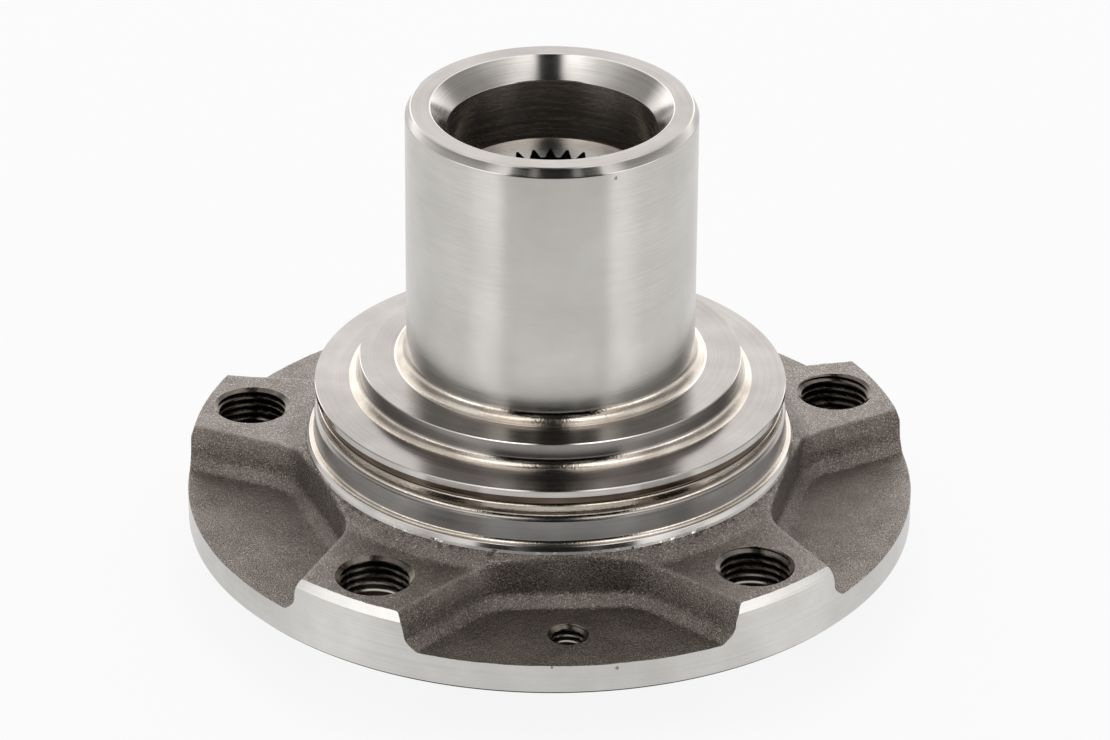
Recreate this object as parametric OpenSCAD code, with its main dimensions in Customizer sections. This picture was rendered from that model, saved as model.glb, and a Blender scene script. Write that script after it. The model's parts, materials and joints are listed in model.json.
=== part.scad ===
// Driven wheel hub: one steel forging, turned on the journal, collar, rim and wheel face.
// The axis is Z. Z = 0 is the face that the brake disc and wheel bolt to, the journal points up,
// and the disc screw lies on the -Y side. The solids follow the hub's machined zones.

/* [Wheel bolts] */
// Number of wheel bolts, and of the bosses that they screw into
bolt_count = 5; // [4:1:6]
// Bolt circle diameter
bolt_pcd = 98; // [96:0.5:112]
// Thread diameter of the wheel bolts
bolt_d = 12; // [10:0.5:14]
// Thread pitch of the wheel bolts
bolt_pitch = 1.25; // [1:0.05:1.75]
// Radial width of the chamfer at each end of a bolt hole, past the thread diameter
bolt_chamfer = 0.5; // [0.2:0.1:0.8]

/* [Wheel flange] */
// Metal left between a bolt hole and the turned rim
rim_wall = 2; // [1.5:0.25:6]
// Thickness of the flange at a bolt boss
boss_h = 11.3; // [9.5:0.1:14]
// Thickness of the flange at a pocket floor
pocket_floor = 5; // [4:0.1:7]
// Width of a boss across its top, measured at the bolt circle
boss_w = 19.7; // [18:0.1:24]
// Angle by which each side of a boss closes in towards the rim
boss_taper = 9.2; // [4:0.2:14]
// Height of the turned lead-in cone at the top of the rim
rim_cone_h = 1.6; // [0.5:0.1:2.5]
// Radial width of that cone
rim_cone_w = 0.5; // [0.2:0.1:1.5]
// Small chamfer between the rim and the wheel face
face_chamfer = 0.5; // [0.2:0.1:1]

/* [Forged pockets] */
// Horizontal run of the sloped crest of a boss side
crest_run = 1.1; // [0.6:0.1:1.6]
// Height of that crest
crest_drop = 2.1; // [1.2:0.1:2.6]
// Rounding of the crest where it meets the boss top
crest_r = 1.2; // [0.5:0.1:1.6]
// Rounding of the brow between the sloped crest and the steep wall
brow_r = 2; // [0.5:0.1:3]
// Horizontal run of the ramp between the pocket floor and the steep wall
ramp_run = 2.1; // [1:0.1:3]
// Height of that ramp
ramp_rise = 1.4; // [0.8:0.1:2]
// Fillet between the ramp and the steep wall
ramp_r = 1.4; // [0.6:0.1:1.8]
// Distance of a pocket floor's inner edge outside the collar lip
wall_inset = 1.9; // [1:0.1:3]
// Draft of the steep walls, from the vertical
wall_draft = 8; // [3:0.5:15]

/* [Disc screw] */
// Distance of the disc screw from the hub axis
screw_r = 47.8; // [46:0.1:50]
// Thread diameter of the disc screw
screw_d = 6; // [5:0.5:8]
// Thread pitch of the disc screw
screw_pitch = 1; // [0.8:0.05:1.25]
// Radial width of the chamfer of its hole, past the thread diameter
screw_chamfer = 0.3; // [0.1:0.1:0.6]

/* [Neck and collar] */
// Height of the forged neck between the boss tops and the collar lip
neck_h = 2.4; // [1.5:0.1:4]
// Radial spread of the neck from the lip down to the boss tops
neck_spread = 2.9; // [1:0.1:4]
// Height of the lip that bounds the forged neck
lip_h = 1.4; // [0.8:0.1:2]
// Radial step from the seal band out to the lip
lip_w = 1.2; // [0.6:0.1:2]
// Fillet between the lip and the seal band
lip_fillet = 0.5; // [0.2:0.1:0.8]
// Height of the plain seal band above the lip
band_h = 3.4; // [2:0.1:5]
// Width and depth of the lower round groove
lower_groove = [1.3, 0.7]; // [0.5:0.1:1.6]
// Height of the ridge between the grooves
ridge_h = 0.9; // [0.5:0.1:1.5]
// Distance that the ridge stays below the seal band
ridge_inset = 0.5; // [0.2:0.1:1]
// Width and depth of the upper round groove
upper_groove = [1.6, 1]; // [0.5:0.1:1.8]
// Height of the rim wall under the collar's broad face
land_h = 1.2; // [0.6:0.1:2]
// Distance that this rim wall stays inside the seal band
land_inset = 0.1; // [0:0.05:0.4]
// Radial width of the broad face, from the shoulder wall out to the rim wall
land_w = 7.05; // [5:0.05:9]
// Height of the shoulder wall above the broad face
shoulder_h = 4.2; // [3:0.1:6]
// Radial width of the bearing shoulder, from the journal out
shoulder_w = 7.3; // [5:0.1:9]
// Fillet between the shoulder wall and the broad face
shoulder_fillet = 1.9; // [1:0.1:2.5]

/* [Bearing journal] */
// Diameter of the ground bearing seat
journal_d = 45; // [42:0.5:50]
// Length of the journal from the bearing shoulder to its end face
journal_len = 42.6; // [32:0.1:55]
// Fillet at the root of the journal
journal_fillet = 1.9; // [1:0.1:2.5]
// Axial length of the lead-in chamfer at the end of the journal
lead_in_len = 1.3; // [0.6:0.1:2]
// Radial depth of that chamfer
lead_in_w = 0.8; // [0.4:0.1:1.5]

/* [Bore] */
// Diameter of the counterbore
bore_d = 32; // [30:0.5:36]
// Radial width of the funnel at the mouth of the counterbore
funnel_w = 2.65; // [1:0.05:3]
// Depth of that funnel
funnel_depth = 3.3; // [1.5:0.1:5]
// Depth from the journal's end face to the start of the spline cone
counterbore_depth = 13.2; // [9:0.1:20]

/* [Spline] */
// Number of spline grooves
spline_teeth = 33; // [24:1:38]
// Diameter over the bottoms of the grooves
spline_major_d = 28; // [27:0.1:29]
// Diameter over the tips of the teeth
spline_minor_d = 25.2; // [24:0.1:26]
// Width of a groove at the tips of the teeth
groove_w = 1.75; // [1.3:0.05:1.9]
// Width of a groove at its bottom
groove_root_w = 0.35; // [0.2:0.05:0.8]
// Metal between the bottoms of the grooves and the outside of the splined section
spline_wall = 1.5; // [1:0.1:1.8]
// Slope of the cone at the ends of the spline, from the horizontal
cone_angle = 27; // [15:1:40]

/* [Wheel pilot] */
// Diameter of the collar that centres the disc and the wheel
pilot_d = 58; // [54:0.1:64]
// Height of that collar below the wheel face
pilot_h = 8.5; // [6:0.5:14]
// Lead-in chamfer of the collar
pilot_chamfer = 1.2; // [0.5:0.1:2]
// Diameter of the recess for the axle nut
recess_d = 46; // [42:0.5:50]
// Depth of that recess inside the flange, from the wheel face
recess_in = 4; // [1:0.5:6]

/* [Hidden] */
$fn = 120;
// Spare length by which a cut runs past the surface that it starts from
over = 1;
bolt_r = bolt_pcd/2;
flange_r = bolt_r + bolt_d/2 + rim_wall;
bore_r = bore_d/2;
journal_r = journal_d/2;
pilot_r = pilot_d/2;
recess_r = recess_d/2;
journal_foot_r = journal_r + journal_fillet;
shoulder_r = journal_r + shoulder_w;
land_r = shoulder_r + land_w;
band_r = land_r + land_inset;
lip_r = band_r + lip_w;
ridge_r = band_r - ridge_inset;
// Heights, from the wheel face up to the journal's end
lip_z = boss_h + neck_h;
band_z = lip_z + lip_h;
lower_groove_z = band_z + band_h;
ridge_z = lower_groove_z + lower_groove[0];
upper_groove_z = ridge_z + ridge_h;
land_z = upper_groove_z + upper_groove[0];
face_z = land_z + land_h;
shoulder_z = face_z + shoulder_h;
top_z = shoulder_z + journal_len;
cone_z = top_z - counterbore_depth;
tip_r = spline_minor_d/2;
root_r = spline_major_d/2;
sleeve_r = root_r + spline_wall;
// Height at which the spline cone meets the outside of the splined section
sleeve_top_z = cone_z - (bore_r - sleeve_r)*tan(cone_angle);
// Height at which the sloped face between the collar and journal zones meets the splined section
root_z = shoulder_z - (journal_foot_r - sleeve_r)*tan(30);
heel_z = pocket_floor + ramp_rise;
// Height above the boss top at which the crest's rounding ends, so that it runs out across the top
run_out = 0.05;
// Flats along each rounded stretch of a forged section
arc_steps = 5;
// Half of the angle from one boss to the next
half_step = 180/bolt_count;

function unit(v) = v/norm(v);
function turn(v, angle) = [v[0]*cos(angle) - v[1]*sin(angle), v[0]*sin(angle) + v[1]*cos(angle)];
// A metric thread's core diameter
function core_d(d, pitch) = d - 1.0825*pitch;

// The sliver between a corner at p, with edges towards a and b, and the arc of radius r in it
module corner(p, a, b, r) {
    to_a = unit(a - p);
    to_b = unit(b - p);
    half = acos(to_a*to_b)/2;
    centre = p + unit(to_a + to_b)*r/sin(half);
    difference() {
        polygon([p, p + to_a*r/tan(half), centre, p + to_b*r/tan(half)]);
        translate(centre) circle(r);
    }
}

// Points of an arc of radius r in the corner at p, from its edge towards a to its edge towards b
function arc(p, a, b, r) =
    let (to_a = unit(a - p), to_b = unit(b - p), half = acos(to_a*to_b)/2)
    let (middle = unit(to_a + to_b), side = sign(cross(to_a, to_b)))
    [for (k = [0:arc_steps]) p + middle*r/sin(half) - r*turn(middle, side*(90 - half)*(1 - 2*k/arc_steps))];

// Round groove of a width and depth in a turned surface of radius r, from height z up
module round_groove(r, z, size) {
    groove_r = (size[0]*size[0]/4 + size[1]*size[1])/(2*size[1]);
    translate([r - size[1] + groove_r, z + size[0]/2]) circle(groove_r);
}

// Core of a tapped hole from z0 up to z1, with a chamfer past the thread at both ends
module tapped_hole(d, pitch, chamfer, z0, z1) {
    core = core_d(d, pitch)/2;
    mouth = d/2 + chamfer;
    depth = mouth - core;
    translate([0, 0, z0 - over]) cylinder(h = z1 - z0 + 2*over, r = core);
    translate([0, 0, z0 - over]) cylinder(h = depth + over, r1 = mouth + over, r2 = core);
    translate([0, 0, z1 - depth]) cylinder(h = depth + over, r1 = core, r2 = mouth + over);
}

// Section of the open space beside a boss: x is the distance from the boss's top edge
module flank_section() {
    reach = flange_r;
    clear_z = lip_z + over;
    crest = [0, boss_h + run_out];
    brow = [crest_run, boss_h - crest_drop];
    heel = [crest_run + (brow[1] - heel_z)*tan(wall_draft), heel_z];
    toe = [heel[0] + ramp_run, pocket_floor];
    crest_arc = arc(crest, brow, crest - [1, 0], crest_r);
    rise = clear_z - crest[1];
    top = crest_arc[arc_steps] + [-rise*crest_run/crest_drop, rise];
    polygon(concat(
        [[reach, clear_z], [reach, pocket_floor], toe], arc(heel, toe, brow, ramp_r),
        arc(brow, heel, crest, brow_r), crest_arc, [top]
    ));
}

// Section of the open space outside a pocket's inner wall: x is the distance from the hub axis
module inner_section() {
    reach = flange_r + over;
    clear_z = lip_z + over;
    toe = [lip_r + wall_inset, pocket_floor];
    heel = [toe[0] - ramp_run, heel_z];
    top = [heel[0] - (clear_z - heel_z)*tan(wall_draft), clear_z];
    polygon(concat([[reach, clear_z], [reach, pocket_floor], toe], arc(heel, toe, top, ramp_r), [top]));
}

// Open space beside the boss that lies half a step clockwise
module beside_boss() {
    rotate(-half_step)
        translate([bolt_r, boss_w/2, 0])
            rotate([90, 0, 90 - boss_taper])
                linear_extrude(height = 2*flange_r, center = true) flank_section();
}

// One forged pocket, open at the rim, with its middle on +X
module pocket() {
    intersection() {
        beside_boss();
        mirror([0, 1, 0]) beside_boss();
        rotate([90, 0, 0]) linear_extrude(height = 2*flange_r, center = true) inner_section();
    }
}

module wheel_flange() color("dimgray") difference() {
    rotate_extrude() polygon([
        [pilot_r, 0], [flange_r - face_chamfer, 0], [flange_r, face_chamfer],
        [flange_r, boss_h - rim_cone_h], [flange_r - rim_cone_w, boss_h],
        [lip_r + neck_spread, boss_h], [lip_r, lip_z], [sleeve_r, lip_z],
        [sleeve_r, recess_in], [recess_r, recess_in]
    ]);
    for (i = [0:bolt_count - 1]) rotate(270 + 2*half_step*i) {
        pocket();
        rotate(half_step) translate([bolt_r, 0, 0])
            tapped_hole(bolt_d, bolt_pitch, bolt_chamfer, 0, boss_h);
    }
    translate([0, -screw_r, 0]) tapped_hole(screw_d, screw_pitch, screw_chamfer, 0, pocket_floor);
}

module wheel_pilot() color("silver") rotate_extrude() polygon([
    [recess_r, -pilot_h], [pilot_r - pilot_chamfer, -pilot_h],
    [pilot_r, pilot_chamfer - pilot_h], [pilot_r, 0], [recess_r, recess_in]
]);

module seal_collar() color("lightgray") rotate_extrude() difference() {
    union() {
        polygon([
            [sleeve_r, lip_z], [lip_r, lip_z], [lip_r, band_z], [band_r, band_z],
            [band_r, ridge_z - lower_groove[0]/2], [ridge_r, ridge_z - lower_groove[0]/2],
            [ridge_r, upper_groove_z], [land_r, upper_groove_z], [land_r, face_z],
            [shoulder_r, face_z], [shoulder_r, shoulder_z], [journal_foot_r, shoulder_z],
            [sleeve_r, root_z]
        ]);
        corner([band_r, band_z], [lip_r, band_z], [band_r, face_z], lip_fillet);
        corner([shoulder_r, face_z], [land_r, face_z], [shoulder_r, shoulder_z], shoulder_fillet);
    }
    round_groove(band_r, lower_groove_z, lower_groove);
    round_groove(land_r, upper_groove_z, upper_groove);
}

module bearing_journal() color("lightgray") rotate_extrude() union() {
    polygon([
        [sleeve_r, root_z], [journal_foot_r, shoulder_z], [journal_r, shoulder_z],
        [journal_r, top_z - lead_in_len],
        [journal_r - lead_in_w, top_z], [bore_r + funnel_w, top_z], [bore_r, top_z - funnel_depth],
        [bore_r, cone_z], [sleeve_r, sleeve_top_z]
    ]);
    corner([journal_r, shoulder_z], [shoulder_r, shoulder_z], [journal_r, top_z], journal_fillet);
}

// Section of the bore with its spline grooves
module spline_section() {
    circle(tip_r);
    for (i = [0:spline_teeth - 1]) rotate(360/spline_teeth*i) polygon([
        [0, -groove_w/2], [tip_r, -groove_w/2], [root_r, -groove_root_w/2],
        [root_r, groove_root_w/2], [tip_r, groove_w/2], [0, groove_w/2]
    ]);
}

module splined_bore() color("gray") {
    cone_h = sleeve_r*tan(cone_angle);
    mouth_h = root_r*tan(cone_angle);
    difference() {
        translate([0, 0, recess_in]) cylinder(h = sleeve_top_z - recess_in, r = sleeve_r);
        translate([0, 0, recess_in - over])
            linear_extrude(height = sleeve_top_z - recess_in + 2*over) spline_section();
        translate([0, 0, sleeve_top_z - cone_h]) cylinder(h = cone_h, r1 = 0, r2 = sleeve_r);
        translate([0, 0, recess_in]) cylinder(h = mouth_h, r1 = root_r, r2 = 0);
    }
}

wheel_flange();
wheel_pilot();
seal_collar();
bearing_journal();
splined_bore();
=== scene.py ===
# %% [markdown]
# # Driven wheel hub
#
# A wheel hub starts as a steel forging, and only some of its surfaces are then machined. The
# flange keeps its dark, rough forging skin in the pockets and on the bosses, while the rim, the
# stepped collar and the bearing journal are turned bright. The bore is bored, broached and oiled.
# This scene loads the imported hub, replaces each plain zone with a finished piece of the same
# size, and lights it on a pale floor.

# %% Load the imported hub
import json
import math

import bpy
import numpy
from mathutils import Matrix, Vector


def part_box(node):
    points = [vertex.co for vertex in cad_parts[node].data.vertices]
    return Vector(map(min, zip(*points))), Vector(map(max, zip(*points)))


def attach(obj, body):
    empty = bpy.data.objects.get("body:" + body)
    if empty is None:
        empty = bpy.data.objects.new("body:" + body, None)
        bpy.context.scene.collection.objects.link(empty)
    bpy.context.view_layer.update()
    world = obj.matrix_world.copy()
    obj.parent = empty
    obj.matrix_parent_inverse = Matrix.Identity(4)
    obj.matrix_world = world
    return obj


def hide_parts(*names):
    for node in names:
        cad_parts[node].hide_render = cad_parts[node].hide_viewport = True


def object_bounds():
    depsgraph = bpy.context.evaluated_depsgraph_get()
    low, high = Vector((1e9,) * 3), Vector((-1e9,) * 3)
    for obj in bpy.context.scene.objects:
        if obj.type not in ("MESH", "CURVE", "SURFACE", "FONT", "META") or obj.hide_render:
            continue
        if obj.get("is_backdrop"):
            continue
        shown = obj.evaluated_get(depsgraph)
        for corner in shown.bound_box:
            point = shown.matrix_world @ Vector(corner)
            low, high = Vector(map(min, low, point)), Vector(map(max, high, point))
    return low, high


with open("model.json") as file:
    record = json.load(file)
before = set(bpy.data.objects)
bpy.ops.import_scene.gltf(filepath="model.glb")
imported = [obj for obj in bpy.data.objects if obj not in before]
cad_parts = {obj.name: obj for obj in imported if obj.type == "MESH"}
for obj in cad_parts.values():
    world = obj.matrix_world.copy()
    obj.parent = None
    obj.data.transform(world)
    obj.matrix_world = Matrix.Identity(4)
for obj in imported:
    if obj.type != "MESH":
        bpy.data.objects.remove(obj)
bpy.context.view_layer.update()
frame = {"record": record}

# %% [markdown]
# ## Sizes
#
# Blender works in metres here, and a machinist thinks in millimetres, so every size below is in
# millimetres and `MM` turns it into metres where a mesh is made. The main sizes aren't typed
# again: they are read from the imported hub's mounts and from the boxes of its zones, so that each
# piece lands exactly where the CAD model has it.

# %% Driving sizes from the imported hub
MM = 0.001
mounts = {mount["name"]: mount for mount in frame["record"]["mounts"]}


def top_of(zone):
    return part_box(zone)[1].z / MM


def foot_of(zone):
    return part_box(zone)[0].z / MM


def radius_of(zone):
    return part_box(zone)[1].x / MM


bolt_count = mounts["wheel_bolts"]["dims"]["count"]
bolt_circle = mounts["wheel_bolts"]["dims"]["pcd_mm"] / 2
bolt_core = mounts["wheel_bolts"]["dims"]["hole_r_mm"]
screw_core = mounts["disc_screw"]["dims"]["r_mm"]
screw_place = -mounts["disc_screw"]["pos_m"][1] / MM
journal_r = mounts["bearing_journal"]["dims"]["r_mm"]
bore_r = mounts["counterbore"]["dims"]["r_mm"]
recess_r = mounts["nut_recess"]["dims"]["r_mm"]
recess_top = mounts["nut_seat"]["pos_m"][2] / MM
shoulder_z = mounts["bearing_shoulder"]["pos_m"][2] / MM
flange_r = radius_of("wheel_flange")
pilot_r = radius_of("wheel_pilot")
pilot_foot = foot_of("wheel_pilot")
lip_r = radius_of("seal_collar")
lip_z = foot_of("seal_collar")
sleeve_r = radius_of("splined_bore")
sleeve_top = top_of("splined_bore")
journal_top = top_of("bearing_journal")
root_z = foot_of("bearing_journal")
journal_foot_r = radius_of("bearing_journal")
print("flange radius", round(flange_r, 2), "lip", round(lip_r, 2), round(lip_z, 2))
print("journal", journal_r, "from", round(shoulder_z, 2), "to", round(journal_top, 2))

# %% [markdown]
# ## Helpers for modelling
#
# Every piece is made the way it would be by hand: a primitive is added, shaped in edit mode and
# finished with modifiers. Operators act on whatever is selected, so each helper first clears the
# selection. `turned` is the lathe: it walks a point round a section and spins the section about
# the hub's axis, which is just what turning does to the real part.

# %% Selection and modifiers
def select_only(*pieces):
    """Leaves edit mode and selects just these pieces, the first as the active one."""
    if bpy.context.object and bpy.context.object.mode != "OBJECT":
        bpy.ops.object.mode_set(mode="OBJECT")
    bpy.ops.object.select_all(action="DESELECT")
    for piece in pieces:
        piece.select_set(True)
    if pieces:
        bpy.context.view_layer.objects.active = pieces[0]


def pick(piece, kind, test):
    """In edit mode, selects the vertices, edges or faces that pass a test."""
    bpy.ops.mesh.select_mode(type=kind)
    bpy.ops.mesh.select_all(action="DESELECT")
    bpy.ops.object.mode_set(mode="OBJECT")
    mesh = piece.data
    parts = {"VERT": mesh.vertices, "EDGE": mesh.edges, "FACE": mesh.polygons}[kind]
    for part in parts:
        part.select = test(part)
    bpy.ops.object.mode_set(mode="EDIT")


def keep_edges(piece, test):
    """In edit mode, keeps those of the selected edges that pass a test."""
    bpy.ops.object.mode_set(mode="OBJECT")
    kept = {edge.index for edge in piece.data.edges if edge.select and test(edge)}
    bpy.ops.object.mode_set(mode="EDIT")
    pick(piece, "EDGE", lambda edge: edge.index in kept)


def finish_with(piece, kind, **settings):
    """Adds a modifier and applies it."""
    select_only(piece)
    modifier = piece.modifiers.new(kind.lower(), kind)
    for key, value in settings.items():
        setattr(modifier, key, value)
    bpy.ops.object.modifier_apply(modifier=modifier.name)


def cut(piece, tool, operation="DIFFERENCE"):
    """Combines a piece with a tool, keeps the tool's material on the cut, and removes the tool."""
    finish_with(piece, "BOOLEAN", operation=operation, object=tool, solver="MANIFOLD",
                material_mode="TRANSFER")
    bpy.data.objects.remove(tool)


def triangles(piece):
    piece.data.calc_loop_triangles()
    return len(piece.data.loop_triangles)


print("pieces can be picked, finished with modifiers, and cut")

# %% Lathe work
around_steps = 256
same_place = 0.001 * MM


def clean_edit_mesh():
    """Merges doubles and points all faces outwards."""
    bpy.ops.mesh.select_all(action="SELECT")
    bpy.ops.mesh.remove_doubles(threshold=same_place)
    bpy.ops.mesh.normals_make_consistent(inside=False)


def walk(name, points):
    """A new piece in edit mode: one wire that starts at the first point and visits the others."""
    select_only()
    bpy.ops.mesh.primitive_plane_add(size=MM)
    piece = bpy.context.object
    piece.name = name
    bpy.ops.object.mode_set(mode="EDIT")
    bpy.ops.mesh.select_mode(type="VERT")
    bpy.ops.mesh.select_all(action="SELECT")
    bpy.ops.mesh.merge(type="CENTER")
    place = Vector((0, 0, 0))
    for number, (radius, height) in enumerate(points):
        there = Vector((radius * MM, 0, height * MM))
        if number == 0:
            bpy.ops.transform.translate(value=there)
        else:
            bpy.ops.mesh.extrude_vertices_move(TRANSFORM_OT_translate={"value": there - place})
        place = there
    return piece


def turned(name, section, steps=around_steps):
    """A closed section of (radius, height) points, spun about the hub's axis."""
    piece = walk(name, section + section[:1])
    bpy.ops.mesh.select_all(action="SELECT")
    bpy.ops.mesh.remove_doubles(threshold=same_place)
    bpy.ops.mesh.spin(steps=steps, angle=2 * math.pi, center=(0, 0, 0), axis=(0, 0, 1))
    clean_edit_mesh()
    bpy.ops.object.mode_set(mode="OBJECT")
    return piece


print("a turned piece has", around_steps, "steps round the axis")

# %% Round corners and round grooves of a section
def fillet(corner, before, after, radius, flats=6):
    """Points of an arc in a corner, from its side towards one point to its side towards another."""
    corner = Vector(corner)
    to_before = (Vector(before) - corner).normalized()
    to_after = (Vector(after) - corner).normalized()
    half = to_before.angle(to_after) / 2
    middle = (to_before + to_after).normalized()
    centre = corner + middle * radius / math.sin(half)
    side = 1 if to_before.x * to_after.y - to_before.y * to_after.x > 0 else -1
    sweep = math.pi / 2 - half
    points = []
    for step in range(flats + 1):
        angle = side * sweep * (1 - 2 * step / flats)
        spoke = -middle * radius
        across = spoke.x * math.cos(angle) - spoke.y * math.sin(angle)
        along = spoke.x * math.sin(angle) + spoke.y * math.cos(angle)
        points.append((centre.x + across, centre.y + along))
    return points


def round_groove(surface_r, foot, width, depth, flats=10):
    """Points of a round groove in a turned surface, from its foot upwards."""
    groove_r = (width * width / 4 + depth * depth) / (2 * depth)
    centre_r = surface_r - depth + groove_r
    reach = math.asin(width / 2 / groove_r)
    points = []
    for step in range(flats + 1):
        angle = -reach + 2 * reach * step / flats
        radius = centre_r - groove_r * math.cos(angle)
        points.append((radius, foot + width / 2 + groove_r * math.sin(angle)))
    return points


first = fillet((0, 0), (1, 0), (0, 1), 0.2)[0]
print("a 0.2 mm fillet in a square corner starts", round(first[0], 3), "mm along its side")

# %% [markdown]
# ## Camera
#
# The photograph was taken with a long lens from about 30 degrees above the flange, a little to
# one side of the disc screw. A long lens makes the near and far side of the rim almost the same
# size. The camera is placed by its distance, its height and the point that it looks at, and is
# rolled by less than half a degree, as the photographer's was.

# %% The photographer's camera
camera_distance = 889.36
camera_height_angle = math.radians(29.606)
camera_turn = math.radians(-3.571)
camera_roll = math.radians(0.4168)
camera_aim = Vector((0.733, 0, 24.549))
camera_lens = 182.0
camera_sensor = 36

camera_place = Vector((0, -math.cos(camera_height_angle), math.sin(camera_height_angle)))
about_hub = Matrix.Rotation(camera_turn, 3, "Z")
eye = about_hub @ camera_place * camera_distance * MM
aim = about_hub @ camera_aim * MM
look = (aim - eye).to_track_quat("-Z", "Y").to_matrix() @ Matrix.Rotation(camera_roll, 3, "Z")
select_only()
bpy.ops.object.camera_add(location=eye, rotation=look.to_euler())
camera = bpy.context.object
camera.name = "photographers_camera"
camera.data.sensor_width = camera_sensor
camera.data.lens = camera_lens
camera.data.clip_end = 20
bpy.context.scene.camera = camera
print("camera at", [round(v, 3) for v in eye], "looks at", [round(v, 4) for v in aim])

# %% [markdown]
# ## Materials
#
# All of this hub is one steel, and what differs is how each surface was made. A forged skin is
# blasted: dull, dark and pitted. A turned surface carries fine rings from the tool's feed. A
# ground one is smoother and brighter. Colours are written as hex values, as a screen shows them,
# and one function turns them into the linear values that a shader takes. One more adds a node.

# %% Colours and shader nodes
def linear(colour):
    """An sRGB hex colour as the linear values that a shader takes."""
    values = [int(colour[place:place + 2], 16) / 255 for place in (1, 3, 5)]
    values = [v / 12.92 if v <= 0.04045 else ((v + 0.055) / 1.055) ** 2.4 for v in values]
    return (*values, 1.0)


def feed(tree, node, inputs):
    """Gives a node its inputs: each is a value, a socket, or a node whose first output is meant."""
    for socket, value in inputs.items():
        if isinstance(value, bpy.types.Node):
            value = value.outputs[0]
        if isinstance(value, bpy.types.NodeSocket):
            tree.links.new(value, node.inputs[socket])
        else:
            node.inputs[socket].default_value = value
    return node


def add_node(tree, kind, inputs=None, **settings):
    """Adds a shader node with its settings, and links or sets its inputs."""
    node = tree.nodes.new("ShaderNode" + kind)
    for key, value in settings.items():
        setattr(node, key, value)
    return feed(tree, node, inputs or {})


def new_material(name):
    """A material, its node tree and its surface shader."""
    material = bpy.data.materials.new(name)
    material.use_nodes = True
    tree = material.node_tree
    return material, tree, tree.nodes["Principled BSDF"]


def place_in_mm(tree):
    """The place on the piece, in millimetres."""
    place = add_node(tree, "TexCoord").outputs["Object"]
    return add_node(tree, "VectorMath", {0: place, "Scale": 1 / MM}, operation="SCALE")


# A Mix of colours takes its factor at socket 0 and the colours at 6 and 7, and gives output 2.
# MapRange takes a value at socket 0, the range it comes from at 1 and 2, and goes from the value
# at 3 to the one at 4, which are 0 and 1 where nothing is said.
print("a mid grey, #808080, is", round(linear("#808080")[0], 3), "in linear light")

# %% [markdown]
# ## Machined finishes
#
# A lathe leaves a ring for each turn of the work, and a grinding wheel leaves short scratches
# along the turn. A picture of rings would have to be wrapped on each piece. Noise that is
# stretched round the axis needs no wrapping: its place changes fast across the rings and slowly
# along them. So there is one recipe, whose spacing is given in millimetres, and each finish sets
# its own colour, roughness and depth. Real rings are 0.1 to 0.2 mm apart, and these are 0.28 to
# 0.5 mm apart, as coarse as they need to be to show.

# %% Rings left by a tool
# Height counts for more than radius, so that a chamfer of 45 degrees still has rings.
ring_climb = 1.37


def ring_place(tree, place, ring, length):
    """A place that changes fast across the tool's rings and slowly along them."""
    parts = add_node(tree, "SeparateXYZ", {0: place})
    flat = add_node(tree, "CombineXYZ", {0: parts.outputs[0], 1: parts.outputs[1]})
    radius = add_node(tree, "VectorMath", {0: flat}, operation="LENGTH").outputs[1]
    unit = add_node(tree, "VectorMath", {0: flat}, operation="NORMALIZE")
    unit = add_node(tree, "SeparateXYZ", {0: unit})
    across = add_node(tree, "Math", {0: parts.outputs[2], 1: ring_climb, 2: radius},
                      operation="MULTIPLY_ADD")
    across = add_node(tree, "Math", {0: across, 1: 1 / ring}, operation="MULTIPLY")
    turn = bolt_circle / length
    along_x = add_node(tree, "Math", {0: unit.outputs[0], 1: turn}, operation="MULTIPLY")
    along_y = add_node(tree, "Math", {0: unit.outputs[1], 1: turn}, operation="MULTIPLY")
    return add_node(tree, "CombineXYZ", {0: across, 1: along_x, 2: along_y})


print("ring patterns turn with the hub's axis")

# %% Bare machined steel
cloud_mm = 9.0
stain_edge_mm = 0.3
speckle_mm = 0.28


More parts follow.
